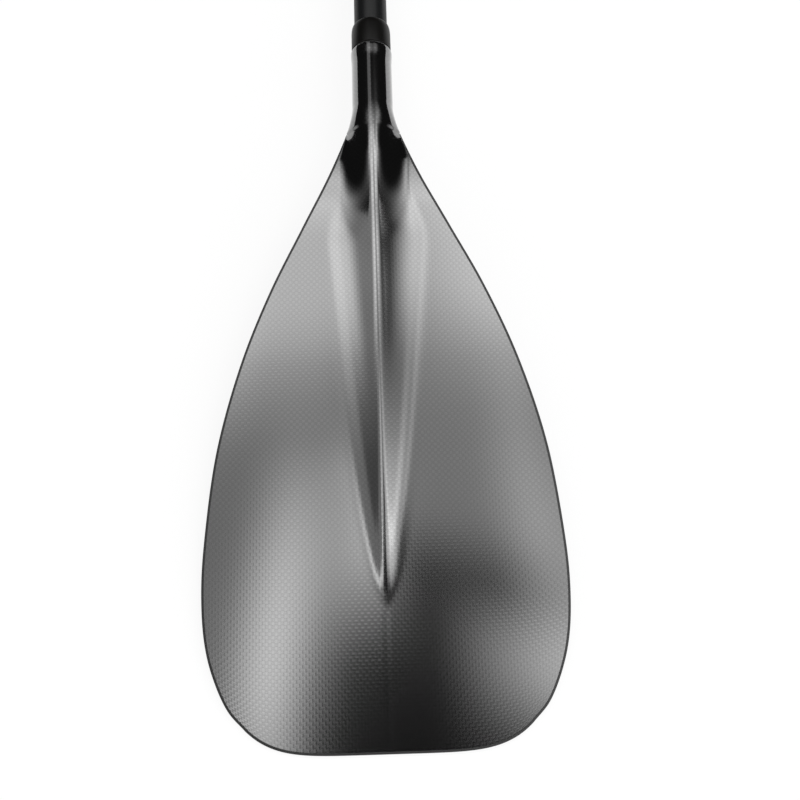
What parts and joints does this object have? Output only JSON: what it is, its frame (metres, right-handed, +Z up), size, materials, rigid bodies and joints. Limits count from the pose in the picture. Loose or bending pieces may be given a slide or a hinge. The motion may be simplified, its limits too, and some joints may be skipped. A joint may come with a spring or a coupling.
{
  "type": "adjustable stand-up paddleboard paddle",
  "caption": "Adjustable stand-up paddle: a raked carbon blade with a ridged power face on a telescoping shaft with a lever clamp and a palm grip.",
  "frame": {"origin": "on the floor, under the middle of the whole paddle's box, with the paddle lying on its back", "axes": "+Y towards the grip, +Z up out of the power face, +X to the right seen from above with the grip away"},
  "size_m": [0.245, 1.6496, 0.0656],
  "materials": {
    "blade_carbon": "satin clear coat over plain-weave carbon",
    "shaft_carbon": "satin black carbon tube",
    "foam": "closed-cell foam",
    "rim_plastic": "black edge band",
    "collar_plastic": "fine satin moulding",
    "seal_rubber": "black rubber",
    "clamp_plastic": "glass-filled moulding",
    "lever_plastic": "glass-filled moulding, smoother",
    "guide_plastic": "satin moulding",
    "grip_plastic": "fine-grained moulding",
    "pad_rubber": "soft touch overmould",
    "fastener_steel": "stainless"
  },
  "bodies": {
    "blade_and_shaft": {"blade_power_skin": "blade_carbon", "blade_back_skin": "blade_carbon", "blade_core": "foam", "blade_edge": "rim_plastic", "neck_liner": "shaft_carbon", "neck_collar": "collar_plastic", "collar_seal": "seal_rubber", "main_shaft": "shaft_carbon", "shaft_plug": "foam", "clamp_body": "clamp_plastic", "lever_pin": "fastener_steel", "clamp_bolt": "fastener_steel", "clamp_washer": "fastener_steel", "clamp_nut": "fastener_steel", "cam_pad": "fastener_steel", "anti_twist_key": "guide_plastic", "clamp_screw": "fastener_steel"},
    "lever": {"clamp_lever": "lever_plastic"},
    "extension": {"extension_tube": "shaft_carbon", "extension_guide": "guide_plastic", "grip_body": "grip_plastic", "grip_pad": "pad_rubber", "grip_plug": "foam", "grip_trim_ring": "guide_plastic"}
  },
  "joints": [
    {"name": "extension_slide", "type": "slide", "parent": "blade_and_shaft", "child": "extension", "axis": [0, 0.9995, -0.0312], "range_m": [0, 0.28]},
    {"name": "lever_swing", "type": "hinge", "parent": "blade_and_shaft", "child": "lever", "pos_m": [-0.0173, 0.45416, 0.05039], "axis": [0, 0.9995, -0.0312], "range_deg": [0, 115]}
  ]
}
